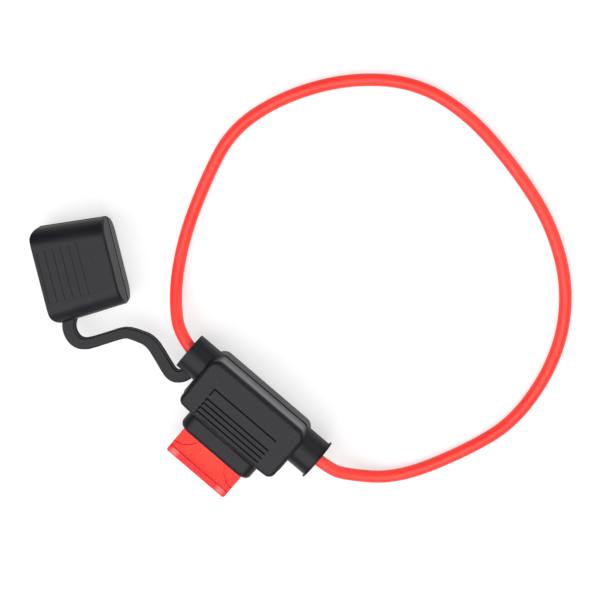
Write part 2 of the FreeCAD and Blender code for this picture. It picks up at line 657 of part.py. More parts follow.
def make_cap():
    """A flat cup with round sides, a little wider at its mouth, shown lying open."""
    body = new_body("cap")
    height = "(sizes.collar_height + 2 * sizes.cap_clearance + 2 * sizes.cap_wall)"
    half_mouth = "(sizes.collar_width / 2 + sizes.cap_clearance + sizes.cap_wall)"
    half_end = "(%s - sizes.cap_taper)" % half_mouth
    half_length = "(sizes.cap_length / 2)"
    wide = mm("collar_width") / 2 + mm("cap_clearance") + mm("cap_wall")
    narrow = wide - mm("cap_taper")
    end_y = mm("cap_length") / 2
    top = mm("collar_height") + 2 * mm("cap_clearance") + 2 * mm("cap_wall")

    plan = new_sketch(body, "cap_plan", "XY_Plane")
    corners = [
        (-wide, -end_y, "-" + half_mouth, "-" + half_length),
        (wide, -end_y, half_mouth, "-" + half_length),
        (narrow, end_y, half_end, half_length),
        (-narrow, end_y, "-" + half_end, half_length),
    ]
    add_polygon(plan, corners)
    new_pad(body, plan, "cap_block", height)
    round_edges(body, "cap_sides", "sizes.collar_round + sizes.cap_clearance + sizes.cap_wall",
                lambda m, b, e: b.YLength > 2 * end_y - 1 and b.ZLength < 0.01)

    slope = new_sketch(body, "end_slope_side", "YZ_Plane")
    out = "(%s + 1)" % half_length
    lean = "(%s - sizes.cap_end_slope)" % half_length
    add_polygon(slope, [
        (end_y, top / 2, half_length, "%s / 2" % height),
        (end_y + 1, top / 2, out, "%s / 2" % height),
        (end_y + 1, top + 1, out, "(%s + 1)" % height),
        (end_y - 0.35, top + 1, lean, "(%s + 1)" % height),
        (end_y - 0.35, top, lean, height),
    ])
    add_polygon(slope, [
        (end_y, top / 2, half_length, "%s / 2" % height),
        (end_y - 0.35, 0, lean, "0 * %s" % height),
        (end_y - 0.35, -1, lean, "-(sizes.cap_edge + 1)"),
        (end_y + 1, -1, out, "-(sizes.cap_edge + 1)"),
        (end_y + 1, top / 2 - 0.01, out, "(%s / 2 - sizes.cap_edge)" % height),
    ])
    new_pocket(body, slope, "end_slopes", "2 * %s + 2" % half_mouth, both_ways=True)

    before = body.Shape.Volume
    open_face = [
        "Face%d" % number for number, face in enumerate(body.Tip.Shape.Faces, start=1)
        if is_near(face.BoundBox.YMax, -end_y)
    ]
    base = body.Tip
    shell = body.newObject("PartDesign::Thickness", "cap_hollow")
    shell.Base = (base, open_face)
    shell.setExpression("Value", "sizes.cap_wall")
    shell.Reversed = True
    shell.Join = 1
    doc.recompute()
    if body.Shape.Volume > before / 2:
        raise RuntimeError("the cap is not hollow")
    base = body.Tip
    rim = body.newObject("PartDesign::Chamfer", "cap_end_rim")
    low = end_y - mm("cap_end_slope") - 0.02
    rim.Base = (base, edges_where(base.Shape, lambda m, b, e: b.YMin > low
                                  and not (is_near(m.z, top / 2) and b.XLength > wide)))
    rim.setExpression("Size", "sizes.cap_edge")
    doc.recompute()

    seam = new_sketch(body, "end_seam_side", "YZ_Plane")
    add_box(seam, "(%s - sizes.cap_seam_depth)" % half_length, out, "(%s / 2 - sizes.cap_seam_width / 2)" % height,
            "(%s / 2 + sizes.cap_seam_width / 2)" % height, (end_y - 0.2, end_y + 1, top / 2 - 0.1, top / 2 + 0.1))
    new_pocket(body, seam, "end_seam", "2 * %s + 2" % half_mouth, both_ways=True)

    trim = new_sketch(body, "mouth_corner_plan", "XY_Plane", "%s + 1" % height)
    for side in (-1, 1):
        add_corner_cut(trim, side, wide, end_y, mm("cap_corner"))
    new_pocket(body, trim, "mouth_corners", "%s + 2" % height)

    for face, name in ((1, "top"), (0, "under")):
        ribs = new_sketch(body, "rib_plan_%s" % name, "XY_Plane", height if face else None)
        for number in range(int(mm("cap_rib_rows"))):
            add_rib(ribs, number)
        new_pocket(body, ribs, "ribs_%s" % name, "sizes.cap_rib_depth", back=not face)

    body.Placement = Placement(CAP_CENTRE, Rotation(Vector(0, 0, 1), CAP_TURN))
    doc.recompute()
    return body


def add_polygon(sketch, corners):
    """A closed outline of straight lines; each corner is x, y and the two expressions that hold them."""
    first = sketch.GeometryCount
    count = len(corners)
    for i in range(count):
        here = corners[i]
        there = corners[(i + 1) % count]
        sketch.addGeometry(Part.LineSegment(Vector(here[0], here[1], 0), Vector(there[0], there[1], 0)), False)
    for i in range(count):
        sketch.addConstraint(Sketcher.Constraint("Coincident", first + i, 2, first + (i + 1) % count, 1))
    for i in range(count):
        pin(sketch, first + i, 1, "x", corners[i][2])
        pin(sketch, first + i, 1, "y", corners[i][3])


def add_corner_cut(sketch, side, wide, end_y, corner):
    """The area outside a rounded corner of the cap's mouth, seen from above."""
    out = 1.0
    first = sketch.GeometryCount
    middle = Vector(side * (wide - corner), -end_y + corner, 0)
    upper = middle + Vector(side * corner, 0, 0)
    lower = middle + Vector(0, -corner, 0)
    diagonal = middle + Vector(side, -1, 0).normalize() * corner
    far = [lower + Vector(0, -out, 0), Vector(side * (wide + out), -end_y - out, 0),
           upper + Vector(side * out, 0, 0)]
    sketch.addGeometry(Part.Arc(upper, diagonal, lower), False)
    points = [lower] + far + [upper]
    for a, b in zip(points, points[1:]):
        sketch.addGeometry(Part.LineSegment(a, b), False)
    arc_start, arc_end = (1, 2) if (sketch.getPoint(first, 1) - upper).Length < 0.01 else (2, 1)
    sketch.addConstraint(Sketcher.Constraint("Coincident", first, arc_end, first + 1, 1))
    for i in range(1, 4):
        sketch.addConstraint(Sketcher.Constraint("Coincident", first + i, 2, first + i + 1, 1))
    sketch.addConstraint(Sketcher.Constraint("Coincident", first + 4, 2, first, arc_start))
    for i, kind in enumerate(["Vertical", "Horizontal", "Vertical", "Horizontal"], start=1):
        sketch.addConstraint(Sketcher.Constraint(kind, first + i))
    lead = "" if side > 0 else "-"
    half_mouth = "(sizes.collar_width / 2 + sizes.cap_clearance + sizes.cap_wall)"
    pin(sketch, first, 3, "x", "%s(%s - sizes.cap_corner)" % (lead, half_mouth))
    pin(sketch, first, 3, "y", "-(sizes.cap_length / 2 - sizes.cap_corner)")
    pin(sketch, first, arc_start, "x", "%s%s" % (lead, half_mouth))
    pin(sketch, first, arc_start, "y", "-(sizes.cap_length / 2 - sizes.cap_corner)")
    pin(sketch, first, arc_end, "x", "%s(%s - sizes.cap_corner)" % (lead, half_mouth))
    pin(sketch, first + 2, 2, "x", "%s(%s + 1)" % (lead, half_mouth))
    pin(sketch, first + 2, 2, "y", "-(sizes.cap_length / 2 + 1)")


def add_rib(sketch, number):
    """One groove across the cap, counted from the mouth."""
    half = "(sizes.cap_rib_length / 2)"
    near = number * mm("cap_rib_pitch") - mm("cap_length") / 2 + mm("cap_rib_first")
    low = "(sizes.cap_rib_pitch * %d - sizes.cap_length / 2 + sizes.cap_rib_first)" % number
    high = "(%s + sizes.cap_rib_width)" % low
    x0, x1 = -6.5, 6.5
    y0, y1 = near, near + mm("cap_rib_width")
    corners = [Vector(x0, y0, 0), Vector(x1, y0, 0), Vector(x1, y1, 0), Vector(x0, y1, 0)]
    first = sketch.GeometryCount
    for i in range(4):
        sketch.addGeometry(Part.LineSegment(corners[i], corners[(i + 1) % 4]), False)
    for i in range(4):
        sketch.addConstraint(Sketcher.Constraint("Coincident", first + i, 2, first + (i + 1) % 4, 1))
    for i, kind in enumerate(["Horizontal", "Vertical", "Horizontal", "Vertical"]):
        sketch.addConstraint(Sketcher.Constraint(kind, first + i))
    pin(sketch, first, 1, "x", "-%s" % half)
    pin(sketch, first + 1, 2, "x", half)
    for geometry, point, expression, value in ((first, 1, low, y0), (first + 1, 2, high, y1)):
        index = sketch.addConstraint(Sketcher.Constraint("DistanceY", -1, 1, geometry, point, value))
        sketch.setExpression("Constraints[%d]" % index, expression)


# Paths with rounded corners

def rounded_path(points, tangents):
    """Straight runs joined by tangent arcs, as one wire, with each arc's radius."""
    edges = []
    radii = []
    start = points[0]
    for i in range(1, len(points) - 1):
        back = (points[i - 1] - points[i]).normalize()
        ahead = (points[i + 1] - points[i]).normalize()
        turn = math.pi - back.getAngle(ahead)
        tangent = tangents[i - 1]
        radius = tangent / math.tan(turn / 2)
        enter = points[i] + back * tangent
        leave = points[i] + ahead * tangent
        bisector = (back + ahead).normalize()
        middle = points[i] + bisector * (radius / math.cos(turn / 2) - radius)
        if (enter - start).Length > 1e-6:
            edges.append(Part.LineSegment(start, enter).toShape())
        edges.append(Part.Arc(enter, middle, leave).toShape())
        radii.append(radius)
        start = leave
    edges.append(Part.LineSegment(start, points[-1]).toShape())
    return Part.Wire(edges), radii


def make_strap(cap):
    """The strap that ties the cap to the gland: a flat band with a round root."""
    middle = mm("collar_height") / 2 + mm("cap_clearance") + mm("cap_wall")
    lift = Vector(0, 0, middle - mm("strap_height") / 2)
    path, radii = rounded_path([p + lift for p in STRAP_ROUTE], STRAP_TANGENTS)
    outline = path.makeOffset2D(mm("strap_width") / 2, 0, False, False)
    band = Part.Face(outline).extrude(Vector(0, 0, mm("strap_height")))
    band = band.cut(cap.Shape)
    solids = sorted(band.Solids, key=lambda s: s.Volume)
    strap = doc.addObject("Part::Feature", "cap_strap")
    strap.Label = "cap_strap"
    strap.Shape = solids[-1]
    print("strap radii", [round(r, 1) for r in radii], "length", round(path.Length, 1))
    return strap


def make_wire():
    """The insulated lead, one loop out of one gland and back into the other."""
    runs = [(b - a).Length for a, b in zip(WIRE_ROUTE, WIRE_ROUTE[1:])]
    tangents = [ARC_SHARE * min(a, b) for a, b in zip(runs, runs[1:])]
    path, radii = rounded_path(WIRE_ROUTE, tangents)
    radius = mm("wire_diameter") / 2
    ring = Part.Circle(WIRE_ROUTE[0], WIRE_ROUTE[1] - WIRE_ROUTE[0], radius).toShape()
    tube = path.makePipeShell([Part.Wire([ring])], True, False)
    expected = math.pi * radius ** 2 * path.Length
    print("wire radii", [round(r, 1) for r in radii])
    print("wire length", round(path.Length, 1), "volume", round(tube.Volume, 1), "of", round(expected, 1))
    if abs(tube.Volume / expected - 1) > 0.01:
        raise RuntimeError("the lead's volume is wrong")
    wire = doc.addObject("Part::Feature", "wire")
    wire.Label = "wire"
    wire.Shape = tube
    return wire


# Build, test and write

cap = make_cap()
pieces = [
    make_housing(),
    make_fuse_body(),
    make_fuse_blades(),
    make_contact("contact_left", -1),
    make_contact("contact_right", 1),
    make_strands("strands_left", -1),
    make_strands("strands_right", 1),
    cap,
    make_strap(cap),
    make_wire(),
]
doc.recompute()

for item in doc.Objects:
    if "Invalid" in item.State or "Error" in item.State:
        raise RuntimeError("%s failed: %s" % (item.Name, item.State))

os.makedirs("parts", exist_ok=True)
for piece in pieces:
    shape = piece.Shape
    if shape.isNull() or not shape.isValid():
        raise RuntimeError("%s is not a valid solid" % piece.Label)
    shape.exportStep("parts/%s.step" % piece.Label)
    box = shape.BoundBox
    print("%-14s solids %d  volume %8.2f  x %.2f..%.2f  y %.2f..%.2f  z %.2f..%.2f" % (
        piece.Label, len(shape.Solids), shape.Volume, box.XMin, box.XMax, box.YMin, box.YMax, box.ZMin, box.ZMax))
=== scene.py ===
import math

import bmesh
import bpy
from mathutils import Matrix, Vector


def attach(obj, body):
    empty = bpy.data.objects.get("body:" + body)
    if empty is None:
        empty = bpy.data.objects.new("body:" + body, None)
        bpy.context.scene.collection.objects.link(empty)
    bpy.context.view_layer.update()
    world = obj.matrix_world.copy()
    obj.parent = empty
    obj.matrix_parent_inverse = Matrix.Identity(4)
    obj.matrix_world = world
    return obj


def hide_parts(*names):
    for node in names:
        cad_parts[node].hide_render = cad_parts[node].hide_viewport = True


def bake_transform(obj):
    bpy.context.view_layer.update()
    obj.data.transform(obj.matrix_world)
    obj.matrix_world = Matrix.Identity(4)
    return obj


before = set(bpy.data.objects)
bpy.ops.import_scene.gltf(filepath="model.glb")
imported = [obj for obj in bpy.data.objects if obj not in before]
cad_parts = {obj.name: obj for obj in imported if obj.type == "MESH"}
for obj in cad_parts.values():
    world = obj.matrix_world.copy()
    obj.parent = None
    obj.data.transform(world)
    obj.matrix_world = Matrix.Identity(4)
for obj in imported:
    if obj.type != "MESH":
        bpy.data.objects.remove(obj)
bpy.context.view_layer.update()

# %% [markdown]
# An in-line blade fuse holder: a soft black moulding with a red fuse plugged into its side, a cap that
# hangs on a strap, and one red lead that leaves one end and comes back into the other.
# All sizes here are in millimetres and are turned into metres by MM.

# %% Millimetres
MM = 0.001


def at(x, y, z):
    """A place given in millimetres."""
    return Vector((x, y, z)) * MM


# %% [markdown]
# The camera looks almost straight down on a table, from 0.4 m up. Its three axes are worked out from
# the eye, the spot it looks at and the roll, and set as one matrix, so no helper has to guess the frame.
# The picture is square, so the lens follows from the width alone.

# %% The camera
EYE = at(-6.80, 105.88, 400.0)
SPOT = at(-8.31, 27.14, 0.0)
IMAGE_RIGHT = Vector((0.7606, 0.6365, -0.1282))
LENS = 95.98
SENSOR = 36.0


def look_from(eye, spot, right_hint):
    """A camera's matrix: it looks from eye to spot, with right_hint near the picture's right."""
    back = (eye - spot).normalized()
    right = (right_hint - back * right_hint.dot(back)).normalized()
    up = back.cross(right)
    turn = Matrix((right, up, back)).transposed().to_4x4()
    return Matrix.Translation(eye) @ turn


lens = bpy.data.cameras.new("table_camera")
lens.lens = LENS
lens.sensor_width = SENSOR
lens.sensor_fit = "HORIZONTAL"
camera = bpy.data.objects.new("table_camera", lens)
camera.matrix_world = look_from(EYE, SPOT, IMAGE_RIGHT)
bpy.context.collection.objects.link(camera)
bpy.context.scene.camera = camera
print("camera", [round(c, 3) for c in camera.location])

# %% [markdown]
# Materials are written as sums: a small class holds one output of a node, and +, - and * add the Math
# nodes. Finish.node adds a node from its type, its settings and its inputs. Each finish on the part ends
# in a Principled shader.

# %% Shader helpers


class Flow:
    """One output of a node, for use in expressions."""

    def __init__(self, finish, socket):
        self.finish = finish
        self.socket = socket

    def math(self, operation, *values):
        """A Math node: on this output alone, or on the values given."""
        inputs = dict(enumerate(values or (self,)))
        return self.finish.node("ShaderNodeMath", {"operation": operation}, inputs)

    def __add__(self, other):
        return self.math("ADD", self, other)

    def __radd__(self, other):
        return self.math("ADD", other, self)

    def __sub__(self, other):
        return self.math("SUBTRACT", self, other)

    def __rsub__(self, other):
        return self.math("SUBTRACT", other, self)

    def __mul__(self, other):
        return self.math("MULTIPLY", self, other)

    def __rmul__(self, other):
        return self.math("MULTIPLY", other, self)

    def unsigned(self):
        """The value without its sign."""
        return self.math("ABSOLUTE")

    def clipped(self):
        """The value, held between 0 and 1."""
        return self.math("MINIMUM", self.math("MAXIMUM", self, 0.0), 1.0)


class Finish:
    """A material that is built one node at a time."""

    def __init__(self, name):
        self.material = bpy.data.materials.new(name)
        self.material.use_nodes = True
        self.tree = self.material.node_tree
        self.tree.nodes.clear()
        self.output = self.tree.nodes.new("ShaderNodeOutputMaterial")

    def node(self, kind, settings=None, inputs=None, out=0):
        """Adds a node: its settings first, then its inputs as values or links."""
        made = self.tree.nodes.new(kind)
        for key, value in (settings or {}).items():
            setattr(made, key, value)
        for key, value in (inputs or {}).items():
            if isinstance(value, Flow):
                self.tree.links.new(value.socket, made.inputs[key])
            else:
                made.inputs[key].default_value = value
        return Flow(self, made.outputs[out])

    def place(self):
        """The surface's own coordinates, in metres."""
        return self.node("ShaderNodeTexCoord", out="Object")

    def axes(self, where):
        """The three numbers of a place: x, y and z."""
        return [self.node("ShaderNodeSeparateXYZ", None, {"Vector": where}, out=axis) for axis in "XYZ"]

    def noise(self, where, per_mm, detail=3.0, roughness=0.5, stretch=None):
        """Noise with so many spots in a millimetre, stretched along an axis where asked."""
        if stretch:
            where = self.node("ShaderNodeMapping", None, {"Vector": where, "Scale": stretch})
        return self.node("ShaderNodeTexNoise", None,
                         {"Vector": where, "Scale": per_mm / MM, "Detail": detail, "Roughness": roughness},
                         out="Fac")

    def span(self, value, low, high, to_low, to_high):
        """Maps low..high to to_low..to_high, held at the ends."""
        return self.node("ShaderNodeMapRange", {"clamp": True}, {
            "Value": value, "From Min": low, "From Max": high, "To Min": to_low, "To Max": to_high})

    def rises(self, value, start, end, low=0.0, high=1.0):
        """A share that goes from low to high between two places in millimetres."""
        return self.span(value, start * MM, end * MM, low, high)

    def falls(self, value, start, end):
        """A share that goes from 1 to 0 between two places in millimetres."""
        return self.rises(value, start, end, 1.0, 0.0)

    def blend(self, share, first, second):
        """A colour between two, by share."""
        return self.node("ShaderNodeMix", {"data_type": "RGBA"}, {0: share, 6: first, 7: second}, out=2)

    def bump(self, height, strength, depth_mm):
        """A small relief, so many millimetres deep."""
        return self.node("ShaderNodeBump", None, {
            "Height": height, "Strength": strength, "Distance": depth_mm * MM})

    def surface(self, **inputs):
        """The Principled shader, wired to the output."""
        named = {key.replace("_", " "): value for key, value in inputs.items()}
        shader = self.node("ShaderNodeBsdfPrincipled", None, named)
        self.tree.links.new(shader.socket, self.output.inputs["Surface"])
        return self.material


def rgb(red, green, blue):
    """A colour as a screen shows it, 0 to 255, turned into the shader's own scale."""
    def linear(c):
        c = c / 255
        return c / 12.92 if c <= 0.04045 else ((c + 0.055) / 1.055) ** 2.4
    return (linear(red), linear(green), linear(blue), 1.0)


# %% [markdown]
# The moulding is soft black PVC. It isn't really black: it is a dark grey with a wide, weak shine. Its
# colour follows broad clouds and specks of pale dust, and its roughness and a very small bump follow the
# clouds and a fine grain. Three places get painted light and shade, set by place since the lamps alone
# didn't give them: painted shade makes the grip grooves and the cap's mould line darker, and they are
# also made duller, and a painted highlight makes the crest of the block's back paler. What causes them on
# the real one is a guess.

# %% Black moulded PVC
BLOCK_TOP = 14.0
GRIP_FRONT = -9.2
GRIP_BACK = 2.4
BLOCK_REACH = 13.0
CREST_FROM = 7.2
CREST_FULL = (11.6, 11.9)
CREST_TO = 12.8
CREST_BACK = 4.2
CAP_SEAM_LEVEL = 6.0
CAP_FROM = -41.0


def make_black_moulding():
    finish = Finish("black_moulding")
    where = finish.place()
    x, y, z = finish.axes(where)
    cloud = finish.noise(where, 0.12, detail=4.0)
    grain = finish.noise(where, 3.2, detail=3.0, roughness=0.6)
    dust = finish.span(finish.noise(where, 1.1, detail=6.0, roughness=0.75), 0.60, 0.76, 0.0, 0.7)
    clouded = finish.span(cloud, 0.35, 0.65, 0.0, 1.0)
    colour = finish.blend(clouded, rgb(20, 19, 24), rgb(25, 24, 29))
    colour = finish.blend(dust, colour, rgb(58, 57, 62))

    on_block = finish.falls(x.unsigned(), BLOCK_REACH, BLOCK_REACH + 1.0)
    # Painted shade in the grip grooves on the block's top: their floors and walls are darkened.
    groove = on_block * finish.falls(z, BLOCK_TOP - 0.25, BLOCK_TOP - 0.05)
    groove = groove * finish.rises(z, BLOCK_TOP - 1.0, BLOCK_TOP - 0.9)
    groove = groove * finish.falls(y, GRIP_BACK, GRIP_BACK + 0.2)
    groove = groove * finish.rises(y, GRIP_FRONT, GRIP_FRONT + 0.2)
    # Painted shade along the cap's mould line, which also darkens the strap's middle near the cap.
    seam = finish.falls((z - CAP_SEAM_LEVEL * MM).unsigned(), 0.3, 0.5)
    seam = seam * finish.falls(x, CAP_FROM, CAP_FROM + 1.0)
    painted_shade = (groove + seam).clipped()
    colour = finish.blend(painted_shade, colour, rgb(4, 4, 6))

    # Painted highlight: the upper part of the block's back wall, up to its rounded top edge, is made paler.
    crest_highlight = on_block * finish.rises(z, CREST_FROM, CREST_FROM + 0.2)
    crest_highlight = crest_highlight * finish.rises(z, CREST_FROM + 0.2, CREST_FULL[0], low=0.3)
    crest_highlight = crest_highlight * finish.falls(z, CREST_FULL[1], CREST_TO)
    crest_highlight = crest_highlight * finish.rises(y, CREST_BACK, CREST_BACK + 0.4)
    colour = finish.blend(crest_highlight, colour, rgb(109, 111, 113))
    return finish.surface(
        Base_Color=colour,
        Roughness=0.34 + 0.12 * cloud + 0.05 * grain + 0.4 * painted_shade,
        IOR=1.45,
        Specular_IOR_Level=0.24,
        Normal=finish.bump(grain + 0.6 * cloud, 0.35, 0.02),
    )


black_moulding = make_black_moulding()

# %% [markdown]
# The lead's insulation is bright red PVC with a satin skin. Light goes a little way into it, which is
# why its shaded side stays red instead of going brown. Its colour is faintly cloudy and its skin grained.

# %% Red insulation
def make_red_insulation():
    finish = Finish("red_insulation")
    where = finish.place()
    cloud = finish.noise(where, 0.08, detail=3.0)
    grain = finish.noise(where, 2.5, detail=2.0)
    base = finish.blend(finish.span(cloud, 0.3, 0.7, 0.0, 1.0), rgb(255, 48, 36), rgb(255, 60, 48))
    return finish.surface(
        Base_Color=base,
        Roughness=0.36 + 0.14 * grain,
        IOR=1.43,
        Subsurface_Weight=0.2,
        Subsurface_Radius=(0.0012, 0.0003, 0.0002),
        Subsurface_Scale=1.0,
        Normal=finish.bump(grain, 0.25, 0.02),
    )


red_insulation = make_red_insulation()

# %% [markdown]
# The fuse's body is clear red plastic on the real one, where light gathers unevenly. Here it is nearly
# opaque, and zones of painted light and shade stand for that light: the thick rim is a deeper crimson with
# a deep red band inside it and a painted pale glint near each end, the outer edge and the sides carry a
# painted dark crimson outline, and the thin middle is more orange. The zones follow the fuse's own length
# and width.

# %% Clear red plastic
OUTER_EDGE = -23.1
RIM_FROM = -21.4
SIDE_EDGE = 9.55


def make_red_clear_plastic():
    finish = Finish("red_clear_plastic")
    where = finish.place()
    x, y, _ = finish.axes(where)
    across = x.unsigned()
    flow = finish.noise(where, 0.25, detail=3.0)
    clouded = finish.span(flow, 0.35, 0.65, 0.0, 1.0)
    base = finish.blend(clouded, rgb(255, 22, 6), rgb(255, 38, 14))

    # Painted light: the thin middle is made more orange.
    middle = finish.rises(y, -20.0, -14.0) * finish.falls(across, 2.0, 7.0)
    base = finish.blend(middle * 0.7, base, rgb(255, 70, 34))
    # Painted shade: the thick rim is a deeper crimson with a deep red band inside it, and a painted pale
    # glint near each end.
    rim = finish.falls(y, RIM_FROM - 0.1, RIM_FROM + 0.1)
    groove = finish.falls(y, RIM_FROM, RIM_FROM + 0.9) * (1 - rim)
    base = finish.blend(groove * 0.8, base, rgb(222, 0, 0))
    base = finish.blend(rim * 0.7, base, rgb(250, 10, 22))
    glint = rim * finish.rises(across, 6.0, 7.2) * finish.falls(across, 8.0, 9.0)
    base = finish.blend(glint * 0.45, base, rgb(255, 150, 140))
    # Painted shade: a dark crimson outline along the outer edge and the sides.
    edge = finish.falls(y, OUTER_EDGE, OUTER_EDGE + 0.45)
    side = finish.rises(across, 9.0, SIDE_EDGE)
    base = finish.blend((edge + side).clipped() * 0.7, base, rgb(200, 0, 16))
    return finish.surface(
        Base_Color=base,
        Roughness=0.2 + 0.12 * flow,
        IOR=1.45,
        Specular_IOR_Level=0.25,
        Transmission_Weight=0.12,
        Normal=finish.bump(flow, 0.3, 0.04),
    )


red_clear_plastic = make_red_clear_plastic()

# %% [markdown]
# The metals are plain sheet: the fuse's blades are zinc, brushed along their length, and the contacts
# are spring brass with a crimped barrel. The strands are bare copper.

# %% Metals
def make_sheet_metal(name, dark, light, brush):
    finish = Finish(name)
    where = finish.place()
    lines = finish.noise(where, 2.0, detail=3.0, stretch=brush)
    stain = finish.noise(where, 0.3, detail=4.0)
    return finish.surface(
        Base_Color=finish.blend(finish.span(stain, 0.35, 0.65, 0.0, 1.0), dark, light),
        Metallic=1.0,
        Roughness=0.26 + 0.2 * lines,
        Normal=finish.bump(lines, 0.3, 0.01),
    )


ALONG_Y = (4.0, 0.3, 4.0)
ALONG_X = (0.3, 5.0, 5.0)
plated_metal = make_sheet_metal("plated_metal", rgb(132, 133, 138), rgb(164, 164, 168), ALONG_Y)
spring_brass = make_sheet_metal("spring_brass", rgb(186, 148, 86), rgb(214, 178, 108), ALONG_Y)
copper = make_sheet_metal("copper", rgb(184, 104, 72), rgb(214, 132, 92), ALONG_X)

# %% [markdown]
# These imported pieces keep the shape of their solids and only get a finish. The cap's solid is about 7 %
# narrower than the one in the photo, which was found too late to change it.

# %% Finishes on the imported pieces
CARRIED = {
    "housing": black_moulding,
    "cap": black_moulding,
    "fuse_blades": plated_metal,
    "contact_left": spring_brass,
    "contact_right": spring_brass,
    "strands_left": copper,
    "strands_right": copper,
}
for name, material in CARRIED.items():
    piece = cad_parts[name]
    piece.data.materials.clear()
    piece.data.materials.append(material)
print("finished", len(CARRIED), "packed pieces")

# %% [markdown]
# The fuse's plastic has soft edges that catch the light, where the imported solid's are sharp. A copy of it
# has its loose triangles merged and its flat faces joined, and then every sharp outer edge gets a bevel.

# %% The fuse's plastic body
EDGE_SOFTNESS = 0.22
SHARP = math.radians(35)
FLAT = math.radians(0.5)
MERGE = 0.001 * MM
# Uneven weights for x, y and z, so that two faces hardly ever get the same place in the order.
ORDER = Vector((1.0, 31.7, 977.3))


def make_fuse_plastic():
    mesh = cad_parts["fuse_body"].data.copy()
    mesh.name = "fuse_plastic"
    shape = bmesh.new()
    shape.from_mesh(mesh)
    bmesh.ops.remove_doubles(shape, verts=shape.verts, dist=MERGE)
    bmesh.ops.dissolve_limit(shape, angle_limit=FLAT, verts=shape.verts, edges=shape.edges)
    sharp = [edge for edge in shape.edges
             if len(edge.link_faces) == 2 and edge.is_convex and edge.calc_face_angle(0.0) > SHARP]
    bmesh.ops.bevel(shape, geom=sharp, offset=EDGE_SOFTNESS * MM, offset_type="OFFSET", segments=3,
                    profile=0.5, affect="EDGES", material=-1, clamp_overlap=True)
    for face in shape.faces:
        face.smooth = True
    bmesh.ops.triangulate(shape, faces=[face for face in shape.faces if len(face.verts) > 4])
    # The order of these faces can change from run to run, so they get one fixed order.
    shape.verts.sort(key=lambda vert: vert.co.dot(ORDER))
    shape.faces.sort(key=lambda face: face.calc_center_median().dot(ORDER))
    shape.to_mesh(mesh)
    shape.free()
    mesh.set_sharp_from_angle(angle=SHARP)
    mesh.materials.clear()
    mesh.materials.append(red_clear_plastic)
    plastic = bpy.data.objects.new("fuse_plastic", mesh)
    bpy.context.collection.objects.link(plastic)
    even = plastic.modifiers.new("even_shading", "WEIGHTED_NORMAL")
    even.weight = 100
    even.keep_sharp = True
    return plastic


fuse_plastic = make_fuse_plastic()
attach(fuse_plastic, "fuse")
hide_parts("fuse_body")
print("fuse plastic faces", len(fuse_plastic.data.polygons))

# %% [markdown]
# Where the two halves of the mould met, a thin line of flash stands proud of the moulding. A copy of the
# node is cut at the mould's parting level, only the cut edges on its outer skin are kept, and a thin
# round bead is drawn along them.

# %% The lines of flash
def make_flash(name, node, level, thickness, keep):
    """A bead along the outline of a node at one level, where keep(middle, normal) says so."""
    shape = bmesh.new()
    shape.from_mesh(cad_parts[node].data)
    bmesh.ops.remove_doubles(shape, verts=shape.verts, dist=MERGE)
    cut = bmesh.ops.bisect_plane(shape, geom=shape.verts[:] + shape.edges[:] + shape.faces[:],
                                 plane_co=at(0, 0, level), plane_no=(0, 0, 1))["geom_cut"]
    kept = set()
    for edge in cut:
        if isinstance(edge, bmesh.types.BMEdge) and edge.link_faces:
            middle = (edge.verts[0].co + edge.verts[1].co) / 2
            if keep(middle / MM, edge.link_faces[0].normal):
                kept.add(edge)
    bmesh.ops.delete(shape, geom=[edge for edge in shape.edges if edge not in kept], context="EDGES_FACES")
    bmesh.ops.delete(shape, geom=[vert for vert in shape.verts if not vert.link_edges], context="VERTS")
    mesh = bpy.data.meshes.new(name)
    shape.to_mesh(mesh)
    shape.free()
    bead = bpy.data.objects.new(name, mesh)
    bpy.context.collection.objects.link(bead)
    bpy.ops.object.select_all(action="DESELECT")
    bead.select_set(True)
    bpy.context.view_layer.objects.active = bead
    bpy.ops.object.convert(target="CURVE")
    bead.data.bevel_depth = thickness / 2 * MM
    bead.data.bevel_resolution = 1
    bead.data.use_fill_caps = True
    bpy.ops.object.convert(target="MESH")
    bead.data.materials.clear()
    bead.data.materials.append(black_moulding)
    print(name, "faces", len(bead.data.polygons))
    return bead


CAP_MIDDLE = Vector((-56.0, -2.1, CAP_SEAM_LEVEL))
CAP_END_WAY = Vector((0.8, 0.6, 0.0))
CAP_BEAD = 0.34
GLAND_SEAM_LEVEL = 7.03
GLAND_FROM = 15.7
GLAND_SIDE = 3.5
GLAND_BEAD = 0.16


def on_cap_side(middle, normal):
    """The cap's outer skin: it faces away from the cap's middle, but not along CAP_END_WAY."""
    return normal.dot(middle - CAP_MIDDLE) > 0.5 and normal.dot(CAP_END_WAY) < 0.6


def on_gland_side(middle, normal):
    """A gland's outer skin, beyond the block."""
    return abs(middle.x) > GLAND_FROM and middle.y * normal.y > GLAND_SIDE


cap_flash = make_flash("cap_flash", "cap", CAP_SEAM_LEVEL, CAP_BEAD, on_cap_side)
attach(cap_flash, "cap")
gland_flash = make_flash("gland_flash", "housing", GLAND_SEAM_LEVEL, GLAND_BEAD, on_gland_side)
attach(gland_flash, "holder")

# %% [markdown]
# The lead is a real length of wire, so it is a curve: one open NURBS line, drawn by a few control points,
# with a round section. It leaves the left mouth, comes down to the table, goes round and climbs back
# into the right mouth. The points are uneven, because they were fitted to the wire in the photo.

# %% The lead
LEAD_DIAMETER = 3.15
LEAD_ROUTE = [
    (-14.2, 0.0, 7.0), (-24.4, 0.0, 7.0), (-33.8, 7.9, 3.6), (-41.2, 20.2, 1.6), (-46.2, 35.3, 1.6),
    (-49.1, 49.1, 1.6), (-44.8, 63.3, 1.6), (-35.4, 77.4, 1.6), (-22.1, 87.7, 1.6), (-6.7, 90.5, 1.6),
    (11.7, 87.7, 1.6), (27.4, 82.8, 1.6), (41.2, 73.1, 1.6), (50.0, 58.8, 1.6), (52.9, 40.2, 1.6),
    (48.7, 25.9, 1.6), (40.3, 8.7, 1.8), (29.7, 1.4, 4.6), (24.4, 0.0, 7.0), (14.2, 0.0, 7.0),
]


